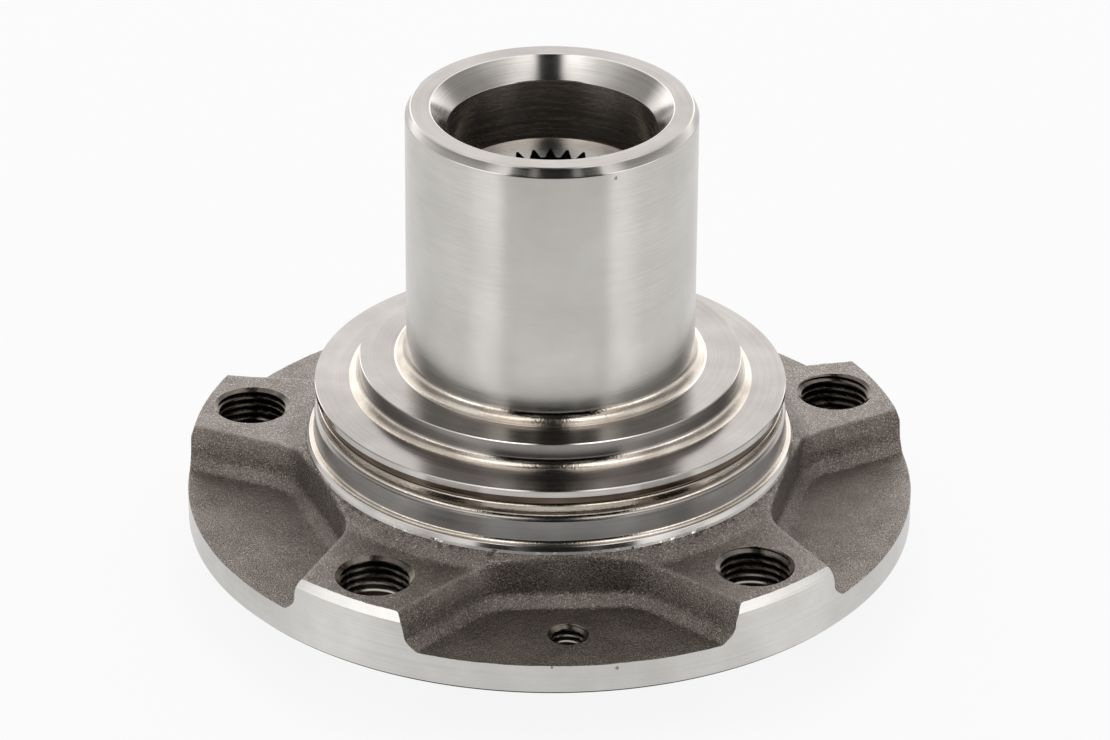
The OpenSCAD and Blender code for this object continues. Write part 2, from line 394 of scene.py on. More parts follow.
def machined_steel(name, tones, rough, ring, length, depth, speckle=0.0, stretch=0.0, stains=()):
    """Steel with rings, whose spacing, length and depth are in millimetres, and a faint cloudiness.

    A stain is its middle and its size in millimetres, its strength and its colour.
    """
    material, tree, shader = new_material(name)
    place = place_in_mm(tree)
    rings = add_node(tree, "TexNoise", {"Vector": ring_place(tree, place, ring, length),
                                        "Scale": 1.0, "Detail": 3.0, "Roughness": 0.6})
    clouds = add_node(tree, "TexNoise", {"Vector": place, "Scale": 1 / cloud_mm, "Detail": 3.0})
    # Noise lies mostly between 0.3 and 0.7, so a range over it starts and ends about there.
    tone = add_node(tree, "Math", {0: rings, 1: 0.6, 2: clouds}, operation="MULTIPLY_ADD")
    tone = add_node(tree, "MapRange", {0: tone, 1: 0.55, 2: 1.05})
    colour = add_node(tree, "Mix", {0: tone, 6: linear(tones[0]), 7: linear(tones[1])},
                      data_type="RGBA").outputs[2]
    # A stain has a ragged edge, over which it fades out.
    for middle, size, strength, stain in stains:
        ragged = add_node(tree, "TexNoise", {"Vector": place, "Scale": 1 / stain_edge_mm})
        away = add_node(tree, "VectorMath", {0: place, 1: middle}, operation="DISTANCE").outputs[1]
        away = add_node(tree, "Math", {0: ragged, 1: size, 2: away}, operation="MULTIPLY_ADD")
        spot = add_node(tree, "MapRange", {0: away, 1: size * 0.9, 2: size * 1.4, 3: strength,
                                           4: 0.0})
        colour = add_node(tree, "Mix", {0: spot, 6: colour, 7: linear(stain)},
                          data_type="RGBA").outputs[2]
    height = rings
    if speckle:
        grains = add_node(tree, "TexNoise", {"Vector": place, "Scale": 1 / speckle_mm})
        height = add_node(tree, "Math", {0: grains, 1: speckle, 2: rings},
                          operation="MULTIPLY_ADD")
    feed(tree, shader, {
        "Base Color": colour,
        "Metallic": 1.0,
        "Roughness": add_node(tree, "MapRange", {0: rings, 1: 0.3, 2: 0.7, 3: rough[0],
                                                 4: rough[1]}),
        "Normal": add_node(tree, "Bump", {"Height": height, "Distance": depth * MM,
                                          "Strength": 1.0}),
        # Fine rings blur a reflection across them and leave it sharp along them.
        "Tangent": add_node(tree, "Tangent", direction_type="RADIAL", axis="Z"),
        "Anisotropic": stretch,
        "Anisotropic Rotation": 0.25,
    })
    return material


print("clouds on bare steel are", cloud_mm, "mm wide")

# %% Turned steel
# Turned steel, as it leaves the lathe: satin, with its rings in sight. The rim has one rust spot
# and one nick.
rust = "#7d6a4c"
nick = "#4a4038"
rim_stains = [
    ((6.75, -56.6, 4.22), 0.45, 0.8, rust),
    ((-2.99, -56.9, 4.8), 0.3, 0.8, nick),
]
turned_rim = machined_steel("turned_steel_rim", ("#c6c3bf", "#d8d6d3"), (0.20, 0.26), ring=0.40,
                            length=40, depth=0.001, stretch=0.7, stains=rim_stains)
# The collar is turned the same way, and a film of oil makes it darker.
turned_collar = machined_steel("turned_steel_collar", ("#8b8682", "#a09b97"), (0.15, 0.22),
                               ring=0.40, length=60, depth=0.0008, stretch=0.4)
# Small chamfers, the funnel and the lip are taken with a fresh tip, so they mirror more. The same
# light colour is a painted highlight on the edge breaks and the land's wall.
bright_turned_and_painted_highlight = machined_steel("bright_turned_steel_and_painted_highlight", ("#bdb8b3", "#d6d2cd"), (0.14, 0.20),
                               ring=0.40, length=60, depth=0.0005, stretch=0.7)
# Grooves and fillets are turned with a form tool, which chatters: they sparkle and look browner,
# because oil stays in them.
form_turned = machined_steel("form_turned_steel", ("#a3988b", "#d6cdc2"), (0.08, 0.15),
                             ring=0.45, length=12, depth=0.004, speckle=6.0, stretch=0.2)
# The upper groove is painted dark brown, as painted shade for the shade that falls in it under the
# land.
upper_groove_painted_shade = machined_steel("turned_steel_painted_shade", ("#453a31", "#75675a"), (0.16, 0.26),
                             ring=0.45, length=12, depth=0.002)
print("turned:", turned_rim.name, turned_collar.name, bright_turned_and_painted_highlight.name, form_turned.name)

# %% Ground, bored, broached and tapped steel
# Ground steel: the wheel leaves a bright, very even surface with short scratches along the turn.
# The journal has one rust spot near its end.
seat_stains = [((8.34, -20.9, 68.1), 0.4, 0.8, rust)]
ground_seat = machined_steel("ground_steel_seat", ("#cbc8c2", "#d9d6d1"), (0.18, 0.23), ring=0.28,
                             length=20, depth=0.0006, stretch=0.8, stains=seat_stains)
# The band that the seal runs on is plunge-ground and keeps a grey film of oil.
seal_band = machined_steel("oiled_ground_steel_band", ("#9b9997", "#b2b0ae"), (0.28, 0.36),
                           ring=0.28, length=30, depth=0.0005, stretch=0.6)
# The bore is turned with a long bar and then oiled, so it is darker and a little wavy.
oiled_bore = machined_steel("oiled_bored_steel", ("#a29a92", "#c4bcb4"), (0.22, 0.30), ring=0.5,
                            length=30, depth=0.0006, stretch=0.8)
# The broach leaves bright tooth tips.
broached_teeth = machined_steel("broached_steel", ("#a3a09c", "#c4c2be"), (0.12, 0.22), ring=0.5,
                                length=20, depth=0.001)
# A tap leaves torn flanks that hold oil, and bright crests between them. The flanks' dark colour is
# both that oil and painted shade in the thread's grooves, and the countersinks take it too.
thread_oil_and_painted_shade = machined_steel("tapped_thread_oil_and_painted_shade", ("#3d3732", "#7d756d"), (0.12, 0.28),
                               ring=0.5, length=8, depth=0.006, speckle=1.0)
thread_crest = machined_steel("thread_crest_steel", ("#a8a29b", "#d6d1cb"), (0.10, 0.20),
                              ring=0.5, length=8, depth=0.002)
print("ground:", ground_seat.name, seal_band.name)
print("bored, broached and tapped:", oiled_bore.name, broached_teeth.name, thread_oil_and_painted_shade.name)

# %% [markdown]
# ## Forged skin
#
# The skin of the forging is shot-blasted steel with its scale: grey-brown, dull and pitted, with
# a grain a quarter of a millimetre wide. Its creases are darkened with painted shade, and the
# blasting rubs its edges brighter. No pattern knows where a crease is, so a value called
# "relief" is measured on the finished mesh, further below, and kept on its vertices.

# %% The shot-blasted skin
grain_mm = 0.24
patch_mm = 6.0
fleck_mm = 0.20
pit_depth = 0.09
forged_skin, tree, shader = new_material("shot_blasted_forged_steel")
place = place_in_mm(tree)
grain = add_node(tree, "TexNoise", {"Vector": place, "Scale": 1 / grain_mm, "Detail": 3.0,
                                    "Roughness": 0.7})
patches = add_node(tree, "TexNoise", {"Vector": place, "Scale": 1 / patch_mm, "Detail": 3.0})
flecks = add_node(tree, "TexNoise", {"Vector": place, "Scale": 1 / fleck_mm})
relief = add_node(tree, "Attribute", attribute_name="relief").outputs["Fac"]
tone = add_node(tree, "Math", {0: patches, 1: 0.4, 2: grain}, operation="MULTIPLY_ADD")
tone = add_node(tree, "MapRange", {0: tone, 1: 0.42, 2: 0.98})
skin = add_node(tree, "Mix", {0: tone, 6: linear("#403833"), 7: linear("#948b83")},
                data_type="RGBA").outputs[2]
# Over it lie painted shade in the creases, the rubbed edges, and bright flecks where the scale is
# off.
for value, start, end, low, high, colour in (
    (relief, 0.006, 0.028, 0.0, 0.85, "#1a1513"),
    (relief, -0.035, -0.008, 0.35, 0.0, "#bdb5ad"),
    (flecks, 0.58, 0.68, 0.0, 1.0, "#bdb5ae"),
):
    amount = add_node(tree, "MapRange", {0: value, 1: start, 2: end, 3: low, 4: high})
    skin = add_node(tree, "Mix", {0: amount, 6: skin, 7: linear(colour)},
                    data_type="RGBA").outputs[2]
dullness = add_node(tree, "MapRange", {0: grain, 1: 0.35, 2: 0.7, 3: 0.34, 4: 0.18})
pits = add_node(tree, "Bump", {"Height": tone, "Distance": pit_depth * MM, "Strength": 1.0})
feed(tree, shader, {"Base Color": skin, "Metallic": 1.0, "Roughness": dullness, "Normal": pits})
print("skin:", forged_skin.name, "with", len(tree.nodes), "nodes")

# %% [markdown]
# ## Wheel flange
#
# The flange is the forging itself. On the real hub a die presses five pockets between five
# bosses, which leaves every edge round and every wall leaning, and the skin is blasted. Here a
# turned blank gets five pocket tools cut out of it, and then a voxel remesh and some smoothing
# round all its edges at once, as a die does. A last cut with a crisp turned envelope stands for
# the lathe, which takes the skin off the rim, the wheel face and the bore.

# %% The blank
spare = 2.0
boss_top = 11.3
neck_foot_r = lip_r + 2.9
neck_fillet = 1.2
neck_top_r = lip_r - 0.1
neck_top = lip_z - 0.5
# The neck's side leans towards this point, just past its top.
neck_aim = (lip_r, lip_z - 0.4)
skin_top = lip_z + 1.5
blank_section = [
    (sleeve_r - spare, -spare),
    (flange_r + spare, -spare),
    (flange_r + spare, boss_top),
    *fillet((neck_foot_r, boss_top), (flange_r, boss_top), neck_aim, neck_fillet),
    (neck_top_r, neck_top),
    (neck_top_r, skin_top),
    (sleeve_r - spare, skin_top),
]
flange = turned("forged_flange", blank_section, around_steps // 2)
print("blank", triangles(flange), "triangles")

# %% [markdown]
# ## One pocket
#
# The tool for a pocket is the shape of its open space. It starts as the widest outline, a flat
# sheet above the flange, and is carried down to the floor in steps: crest, steep wall and ramp.
# Each step is an extrusion or an inset, as by hand, and bevels round its brow, heel and corners.

# %% Sizes of a pocket
half_step = math.pi / bolt_count
boss_half_w = 9.85
boss_taper = math.radians(9.2)
side_angle = half_step + boss_taper
crest_run = 1.1
crest_drop = 2.1
brow_z = boss_top - crest_drop
brow_round = 0.9
wall_run = 0.39
heel_z = 6.7
heel_round = 0.4
ramp_run = 1.85
floor_z = 5.0
corner_round = 2.6
# The two upright corners at the inner end lie within this distance of the axis.
corner_limit = lip_r + 4.9
tool_top = boss_top + 3
inner_line = lip_r + 0.15
outer_line = flange_r + 6
middle_line = (inner_line + outer_line) / 2

# A point on the top edge of the boss side that faces this pocket, as (across, out).
edge_across = bolt_circle * math.sin(half_step) - boss_half_w * math.cos(half_step)
edge_out = bolt_circle * math.cos(half_step) + boss_half_w * math.sin(half_step)
crest_spread = (tool_top - boss_top) * crest_run / crest_drop / math.cos(side_angle)
print("pocket from", round(inner_line, 2), "to the rim, floor at", floor_z)

# %% The outline, and its way down
def across_at(out):
    """Half the width of the tool's top outline at a distance from the hub's axis."""
    return edge_across + crest_spread + (out - edge_out) * math.tan(side_angle)


def corners_of(piece, part):
    """The places of an edge's ends or a face's corners, in millimetres."""
    return [piece.data.vertices[index].co / MM for index in part.vertices]


def at_height(place, height):
    return abs(place.z - height * MM) < 0.01 * MM


def pocket_outline():
    """The widest outline of a pocket, in edit mode."""
    select_only()
    centre = (0, -middle_line * MM, tool_top * MM)
    bpy.ops.mesh.primitive_plane_add(size=2 * MM, location=centre)
    tool = bpy.context.object
    bpy.ops.object.transform_apply(location=True, rotation=False, scale=False)
    bpy.ops.object.mode_set(mode="EDIT")
    bpy.ops.mesh.select_all(action="SELECT")
    bpy.ops.transform.resize(value=(1, (outer_line - inner_line) / 2, 1), center_override=centre)
    for side, out in ((1, outer_line), (-1, inner_line)):
        pick(tool, "VERT", lambda v: (-v.co.y / MM - middle_line) * side > 0)
        bpy.ops.transform.resize(value=(across_at(out), 1, 1), center_override=centre)
    return tool


def pull_back(tool):
    """Under the lip the steep wall stays upright, so there the outline is pulled back."""
    bpy.ops.object.mode_set(mode="OBJECT")
    nearest = min(-v.co.y for v in tool.data.vertices if at_height(v.co, heel_z))
    bpy.ops.object.mode_set(mode="EDIT")
    pick(tool, "VERT", lambda v: at_height(v.co, heel_z) and -v.co.y < nearest + 0.1 * MM)
    bpy.ops.transform.translate(value=(0, nearest - inner_line * MM, 0))
    pick(tool, "FACE", lambda f: at_height(f.center, heel_z))


def sink(tool):
    """Carries the outline down: the crest closes in sideways, the wall and the ramp all round."""
    bpy.ops.mesh.select_all(action="SELECT")
    down = {"value": (0, 0, (brow_z - tool_top) * MM)}
    bpy.ops.mesh.extrude_region_move(TRANSFORM_OT_translate=down)
    close_in = crest_spread + crest_run / math.cos(side_angle)
    for side in (-1, 1):
        pick(tool, "VERT", lambda v: at_height(v.co, brow_z) and v.co.x * side > 0)
        bpy.ops.transform.translate(value=(-side * close_in * MM, 0, 0))
    pick(tool, "FACE", lambda f: at_height(f.center, brow_z))
    levels = (brow_z, heel_z, floor_z)
    for run, above, below in zip((wall_run, ramp_run), levels, levels[1:]):
        bpy.ops.mesh.inset(thickness=run * MM)
        bpy.ops.transform.translate(value=(0, 0, (below - above) * MM))
        if below == heel_z:
            pull_back(tool)


pocket = pocket_outline()
sink(pocket)
print("the pocket's outline is", round(2 * across_at(flange_r), 1), "mm wide at the rim")

# %% Round the pocket's edges
def upright(edge):
    """The two upright corners at the pocket's inner end."""
    ends = corners_of(pocket, edge)
    return all(-end.y < corner_limit for end in ends) and abs(ends[0].z - ends[1].z) > 0.5


def in_brow(edge):
    return all(abs(end.z - brow_z) < 0.02 for end in corners_of(pocket, edge))


def in_heel(edge):
    return all(abs(end.z - heel_z) < 0.02 for end in corners_of(pocket, edge))


for test, radius, segments in (
    (upright, corner_round, 6),
    (in_brow, brow_round, 3),
    (in_heel, heel_round, 3),
):
    pick(pocket, "EDGE", test)
    bpy.ops.mesh.bevel(offset=radius * MM, segments=segments, affect="EDGES", clamp_overlap=True)
clean_edit_mesh()
bpy.ops.object.mode_set(mode="OBJECT")
print("pocket tool", triangles(pocket), "triangles")

# %% Copies round the hub
def ring_of(tool, count):
    """Repeats a tool round the axis, each copy a shell of the same mesh."""
    select_only(tool)
    bpy.ops.object.mode_set(mode="EDIT")
    bpy.ops.mesh.select_all(action="SELECT")
    for _ in range(count - 1):
        bpy.ops.mesh.duplicate()
        bpy.ops.transform.rotate(value=2 * math.pi / count, orient_axis="Z",
                                 center_override=(0, 0, 0))
    bpy.ops.object.mode_set(mode="OBJECT")
    return tool


cut(flange, ring_of(pocket, bolt_count))
print("blank with pockets", triangles(flange), "triangles")

# %% [markdown]
# ## Round edges and a rough skin
#
# A die can't make a sharp edge, and the blasted skin isn't flat. Bevelling each edge of the
# flange would fail where they meet, so the whole piece is remeshed in voxels and smoothed, which
# rounds them all at once. Clouds then push the skin in and out: long waves from the die, small
# dents from the blasting, and a torn edge under the lip. The voxels are 0.36 mm, about the
# smallest that keeps the finished piece under 200,000 triangles.

# %% Round and roughen the skin
voxel = 0.36 * MM
finish_with(flange, "REMESH", mode="VOXEL", voxel_size=voxel, use_smooth_shade=True)
finish_with(flange, "SMOOTH", factor=0.5, iterations=4)
torn_r = lip_r + 1.5
torn_foot = lip_z - 1.6
under_lip = flange.vertex_groups.new(name="under_lip")
near_lip = [v.index for v in flange.data.vertices
            if math.hypot(v.co.x, v.co.y) < torn_r * MM and v.co.z > torn_foot * MM]
under_lip.add(near_lip, 1.0, "REPLACE")
for texture_name, size_mm, depth_mm, group in (
    ("die_waves", 6.0, 0.16, ""),
    ("blast_dents", 1.1, 0.09, ""),
    ("torn_edge", 0.9, 0.35, "under_lip"),
):
    texture = bpy.data.textures.new(texture_name, "CLOUDS")
    texture.noise_scale = size_mm * MM
    texture.noise_depth = 1
    finish_with(flange, "DISPLACE", texture=texture, texture_coords="LOCAL",
                strength=depth_mm * MM, mid_level=0.5, vertex_group=group)
flange.vertex_groups.clear()
flange.data.materials.clear()
flange.data.materials.append(forged_skin)
print("forged skin", triangles(flange), "triangles")

# %% Turn the rim, the wheel face and the bore
# The lathe takes the skin off, so the rough piece is cut to a crisp turned envelope.
rim_cone_h = 1.6
rim_cone_w = 0.5
face_chamfer = 0.5
ledge_z = lip_z - 0.45
lip_foot_r = lip_r + 0.1
cone_z = boss_top - rim_cone_h
envelope = turned("turned_envelope", [
    (pilot_r, 0),
    (flange_r - face_chamfer, 0),
    (flange_r, face_chamfer),
    (flange_r, cone_z),
    (flange_r - rim_cone_w * (ledge_z - cone_z) / rim_cone_h, ledge_z),
    (lip_foot_r, ledge_z),
    (lip_r, lip_z),
    (sleeve_r, lip_z),
    (sleeve_r, recess_top),
    (recess_r, recess_top),
])
envelope.data.materials.append(turned_rim)
cut(flange, envelope, "INTERSECT")
print("turned forging", triangles(flange), "triangles")

# %% Close the gap under the lip
# Where the torn skin stays back under the lip, this ring closes the gap behind it.
root_r = lip_r - 0.5
lip_root = turned("lip_root", [
    (sleeve_r, torn_foot),
    (root_r, torn_foot),
    (lip_foot_r, ledge_z),
    (lip_r, lip_z),
    (sleeve_r, lip_z),
])
for material in (bright_turned_and_painted_highlight, forged_skin):
    lip_root.data.materials.append(material)
for face in lip_root.data.polygons:
    face.material_index = int(face.center.z < ledge_z * MM)
cut(flange, lip_root, "UNION")
print("forging with its lip", triangles(flange), "triangles")

# %% Keep the rim's edge sharp
# The cone above the rim leans by 17 degrees, less than the angle that stays smooth below.
def on_ring(piece, edge, radius, height):
    """True for an edge whose two ends lie on a ring about the hub's axis."""
    return all(abs(math.hypot(end.x, end.y) - radius) < 0.03 and abs(end.z - height) < 0.01
               for end in corners_of(piece, edge))


select_only(flange)
bpy.ops.object.mode_set(mode="EDIT")
pick(flange, "EDGE", lambda edge: on_ring(flange, edge, flange_r, cone_z))
bpy.ops.mesh.mark_sharp()
bpy.ops.object.mode_set(mode="OBJECT")
print("sharp edges", sum(edge.use_edge_sharp for edge in flange.data.edges))

# %% [markdown]
# ## Tapped holes
#
# The photograph looks straight into the far bolt holes, so their threads are real geometry. A
# thread is one V, one pitch high, carried up a helix: the Screw modifier does that, and makes the
# male form of the thread. Its ends are closed, and it is subtracted, as a tap would do it. Then
# a cone at each end breaks the edge, past the outside of the thread.

# %% A tap
bolt_d = 12.0
bolt_pitch = 1.25
bolt_chamfer = 0.05
screw_d = 6.0
screw_pitch = 1.0
screw_chamfer = 0.15
thread_steps = 40


def tap(core_r, outer_r, pitch, foot, head):
    """The male form of a thread along Z, closed at both ends."""
    flank = pitch * 5 / 16
    piece = walk("tap", [
        (core_r, foot),
        (core_r, foot + pitch / 4),
        (outer_r, foot + pitch / 4 + flank),
        (outer_r, foot + pitch * 3 / 8 + flank),
        (core_r, foot + pitch),
    ])
    turns = math.ceil((head - foot) / pitch)
    finish_with(piece, "SCREW", axis="Z", angle=2 * math.pi, screw_offset=pitch * MM,
                iterations=turns, steps=thread_steps, render_steps=thread_steps)
    bpy.ops.object.mode_set(mode="EDIT")
    bpy.ops.mesh.select_all(action="SELECT")
    bpy.ops.mesh.remove_doubles(threshold=same_place)
    middle = foot + turns * pitch / 2
    for side in (-1, 1):
        bpy.ops.mesh.select_mode(type="EDGE")
        bpy.ops.mesh.select_all(action="DESELECT")
        bpy.ops.mesh.select_non_manifold(extend=False, use_wire=False, use_boundary=True,
                                         use_multi_face=False, use_non_contiguous=False,
                                         use_verts=False)
        keep_edges(piece, lambda edge: (corners_of(piece, edge)[0].z - middle) * side > 0)
        bpy.ops.mesh.extrude_edges_move(TRANSFORM_OT_translate={"value": (0, 0, side * MM)})
        bpy.ops.mesh.merge(type="CENTER")
    clean_edit_mesh()
    bpy.ops.object.mode_set(mode="OBJECT")
    piece.data.materials.append(thread_crest)
    piece.data.materials.append(thread_oil_and_painted_shade)
    # Faces past the core take the flanks' dark colour, oil and painted shade; the core's flats are
    # crests.
    for face in piece.data.polygons:
        reach = max(math.hypot(v.x, v.y) for v in corners_of(piece, face))
        face.material_index = int(reach > core_r + 0.02)
    return piece


print("bolt thread", bolt_d, "x", bolt_pitch, "and screw thread", screw_d, "x", screw_pitch)

# %% Countersinks, and a tool's place
countersink_slope = 0.64


def countersinks(core_r, mouth_r, foot, head):
    """A cone at each end of a hole, a little longer than the chamfer it leaves."""
    past = 1.0
    wide_r = mouth_r + past / countersink_slope
    depth = (mouth_r - core_r) * countersink_slope + past
    both = []
    for place, end in ((foot, -1), (head, 1)):
        low_r, high_r = (wide_r, core_r) if end < 0 else (core_r, wide_r)
        middle = place - end * (depth / 2 - past)
        select_only()
        bpy.ops.mesh.primitive_cone_add(vertices=64, radius1=low_r * MM, radius2=high_r * MM,
                                        depth=depth * MM, location=(0, 0, middle * MM))
        both.append(bpy.context.object)
        bpy.ops.object.transform_apply(location=True, rotation=False, scale=False)
    select_only(*both)
    bpy.ops.object.join()
    return bpy.context.object


def put_at(piece, out, angle):
    """Moves a tool's mesh out from the axis, towards -Y turned by an angle."""
    select_only(piece)
    bpy.ops.object.mode_set(mode="EDIT")
    bpy.ops.mesh.select_all(action="SELECT")
    across = math.sin(angle) * out * MM
    bpy.ops.transform.translate(value=(across, -math.cos(angle) * out * MM, 0))
    bpy.ops.object.mode_set(mode="OBJECT")
    return piece


print("countersinks go down", countersink_slope, "mm for each mm that they are wider")

# %% Tap the five bolt holes and the disc screw's hole
# Each thread runs past both ends of its hole by two pitches.
for core_r, outer_r, pitch, chamfer, head, out, angle, count in (
    (bolt_core, bolt_d / 2, bolt_pitch, bolt_chamfer, boss_top, bolt_circle, half_step, bolt_count),
    (screw_core, screw_d / 2, screw_pitch, screw_chamfer, floor_z, screw_place, 0.0, 1),
):
    thread = put_at(tap(core_r, outer_r, pitch, -2 * pitch, head + 2 * pitch), out, angle)
    cut(flange, ring_of(thread, count))
    cones = put_at(countersinks(core_r, outer_r + chamfer, 0, head), out, angle)
    # The countersinks take the flanks' dark colour too: oil and painted shade.
    cones.data.materials.append(thread_oil_and_painted_shade)
    cut(flange, ring_of(cones, count))
print("tapped flange", triangles(flange), "triangles")
print([slot.name for slot in flange.material_slots])

# %% [markdown]
# ## The relief of the skin
#
# The skin's material asks where its creases and edges are. For each vertex, the relief is how far
# its neighbours' middle lies above it, in millimetres: above zero in a crease, and below zero on
# an edge. A few rounds of averaging calm it, and it is kept on the mesh as an attribute. There
# are about 80,000 vertices, so the sums are done on whole arrays at once.

# %% Measure the relief
def measure_relief(piece, rounds=3, most=0.05):
    """Keeps the relief on the vertices, at most so many millimetres either way."""
    mesh = piece.data
    count = len(mesh.vertices)
    places = numpy.empty(count * 3)
    mesh.vertices.foreach_get("co", places)
    places = places.reshape(count, 3) / MM
    normals = numpy.empty(count * 3)
    mesh.vertices.foreach_get("normal", normals)
    ends = numpy.empty(len(mesh.edges) * 2, dtype=numpy.int32)
    mesh.edges.foreach_get("vertices", ends)
    ends = ends.reshape(-1, 2)
    links = numpy.maximum(numpy.bincount(ends.ravel(), minlength=count), 1)

    def beside(values):
        total = numpy.zeros_like(values)
        numpy.add.at(total, ends[:, 0], values[ends[:, 1]])
        numpy.add.at(total, ends[:, 1], values[ends[:, 0]])
        return (total.T / links).T

    relief = ((beside(places) - places) * normals.reshape(count, 3)).sum(axis=1)
    relief = numpy.clip(relief, -most, most)
    for _ in range(rounds):
        relief = (relief + beside(relief)) / 2
    mesh.attributes.new("relief", "FLOAT", "POINT").data.foreach_set("value", relief)
    print("relief from", round(relief.min(), 3), "to", round(relief.max(), 3), "mm")


measure_relief(flange)

# %% [markdown]
# ## Turned pieces
#
# The collar, the journal and the pilot are pure lathe work, so each is a section and a spin. What
# sells them is the small things: the fillets at the foot of each shoulder, the two narrow grooves
# over the seal's band, and the edge breaks, about 0.1 mm wide, that catch a line of light.

# %% Edges that catch the light
edge_break = 0.13
break_angle = math.radians(20)


def break_edges(piece, seams):
    """Breaks a turned piece's sharp edges, apart from the rings where the steel goes on."""
    select_only(piece)
    bpy.ops.object.mode_set(mode="EDIT")
    bpy.ops.mesh.select_mode(type="EDGE")
    bpy.ops.mesh.select_all(action="DESELECT")
    bpy.ops.mesh.edges_select_sharp(sharpness=break_angle)
    keep_edges(piece, lambda edge: not any(on_ring(piece, edge, *ring) for ring in seams))
    bpy.ops.mesh.bevel(offset=edge_break * MM, segments=1, affect="EDGES")
    bpy.ops.object.mode_set(mode="OBJECT")


print("edge breaks are", edge_break, "mm wide")

# %% [markdown]
# ## Seal collar
#
# From its foot upwards, the collar has a thin lip, the ground band that the seal runs on, a round
# groove, a ridge, a square groove, a narrow land, the broad face, and the shoulder that the
# bearing rests on. Reflections give away each of these steps, so every one is in the section.

# %% Seal collar
band_z = lip_z + 0.75
lip_lean = 0.38
band_r = lip_r - 1.2
lip_fillet = 0.75
lower_groove_z = lip_z + 4.65
lower_groove_w = 1.55
lower_groove_depth = 0.65
ridge_r = band_r - 0.5
ridge_z = lower_groove_z + lower_groove_w
upper_groove_z = ridge_z + 0.9
upper_groove_w = 1.5
upper_groove_r = ridge_r - 0.4
land_r = band_r - 0.1
land_foot = upper_groove_z + upper_groove_w
upper_groove_round = 0.25
face_z = land_foot + 1.2
# The broad face is a very flat cone, and the shoulder above it leans by three degrees.
face_rise = 0.5
shoulder_r = journal_r + 7.3
shoulder_foot_r = shoulder_r + 0.2
shoulder_fillet = 1.7
fillet_corner = (shoulder_foot_r, face_z + face_rise)
groove_floor = round_groove(band_r, lower_groove_z, lower_groove_w, lower_groove_depth)
groove_middle = lower_groove_z + lower_groove_w / 2
groove_floor = [(r, z) for r, z in groove_floor if r < ridge_r or z < groove_middle]
collar = turned("seal_collar", [
    (sleeve_r, lip_z),
    (lip_r, lip_z),
    (lip_r - lip_lean, band_z),
    *fillet((band_r, band_z), (lip_r, band_z), (band_r, face_z), lip_fillet),
    *groove_floor,
    (ridge_r, ridge_z),
    (ridge_r, upper_groove_z),
    *fillet((upper_groove_r, upper_groove_z), (ridge_r, upper_groove_z),
            (upper_groove_r, land_foot), upper_groove_round, 5),
    (upper_groove_r, land_foot),
    (land_r, land_foot),
    (land_r, face_z),
    *fillet(fillet_corner, (land_r, face_z), (shoulder_r, shoulder_z), shoulder_fillet, 10),
    (shoulder_r, shoulder_z),
    (journal_foot_r, shoulder_z),
    (sleeve_r, root_z),
])
print("collar", triangles(collar), "triangles")

# %% [markdown]
# ## Bearing journal and wheel pilot
#
# The journal is ground to carry the wheel bearing. At its foot is a fillet, at its end a lead-in
# chamfer, and inside a funnel and the counterbore that lead to the spline. The pilot, on the other
# side of the flange, is a short ring that centres the wheel. Both are sections, spun.

# %% Bearing journal
lead_in_len = 1.3
lead_in_w = 0.8
funnel_w = 2.65
funnel_depth = 3.3
counterbore_depth = 13.2
journal_fillet = journal_foot_r - journal_r
bore_foot = journal_top - counterbore_depth
journal = turned("bearing_journal", [
    (sleeve_r, root_z),
    *fillet((journal_r, shoulder_z), (journal_foot_r + 1, shoulder_z), (journal_r, journal_top),
            journal_fillet, 10),
    (journal_r, journal_top - lead_in_len),
    (journal_r - lead_in_w, journal_top),
    (bore_r + funnel_w, journal_top),
    (bore_r, journal_top - funnel_depth),
    (bore_r, bore_foot),
    (sleeve_r, sleeve_top),
])
print("journal", triangles(journal), "triangles")

# %% Wheel pilot
pilot_chamfer = 1.2
pilot = turned("wheel_pilot", [
    (recess_r, pilot_foot),
    (pilot_r - pilot_chamfer, pilot_foot),
    (pilot_r, pilot_foot + pilot_chamfer),
    (pilot_r, 0),
    (recess_r, recess_top),
])
print("pilot", triangles(pilot), "triangles")

# %% [markdown]
# ## Splined bore
#
# A broach pulls 33 V-shaped grooves through the bore. The grooves meet a shallow cone at each
# end, so each one opens in a sharp dark notch. The sleeve is turned, one groove tool is shaped
# from a cube and repeated round the axis, and all of them are cut at once.

# %% The sleeve and its grooves
spline_count = 33
tip_r = 12.6
groove_r = 14.0
groove_w = 1.75
groove_root_w = 0.35
cone_angle = math.radians(27)
sleeve = turned("splined_bore", [
    (sleeve_r, recess_top),
    (sleeve_r, sleeve_top),
    (tip_r, sleeve_top - (sleeve_r - tip_r) * math.tan(cone_angle)),
    (tip_r, recess_top + (groove_r - tip_r) * math.tan(cone_angle)),
    (groove_r, recess_top),
], spline_count * 6)

# The groove's tool reaches inside the tooth tips, and past both ends of the sleeve.
inside = 1.2
broach_length = sleeve_top - recess_top + 4
centre = ((tip_r - inside + groove_r) / 2 * MM, 0, (recess_top + sleeve_top) / 2 * MM)
select_only()
bpy.ops.mesh.primitive_cube_add(size=2 * MM, location=centre)
broach = bpy.context.object
bpy.ops.object.transform_apply(location=True, rotation=False, scale=False)
bpy.ops.object.mode_set(mode="EDIT")
bpy.ops.mesh.select_all(action="SELECT")
bpy.ops.transform.resize(value=((groove_r - tip_r + inside) / 2, 1, broach_length / 2),
                         center_override=centre)
opening = groove_w + (groove_w - groove_root_w) * inside / (groove_r - tip_r)
for outer, width in ((True, groove_root_w), (False, opening)):
    pick(broach, "VERT", lambda v: (v.co.x > centre[0]) == outer)
    bpy.ops.transform.resize(value=(1, width / 2, 1), center_override=centre)
bpy.ops.object.mode_set(mode="OBJECT")
for piece in (sleeve, broach):
    piece.data.materials.append(broached_teeth)
cut(sleeve, ring_of(broach, spline_count))
print("splined bore", triangles(sleeve), "triangles")
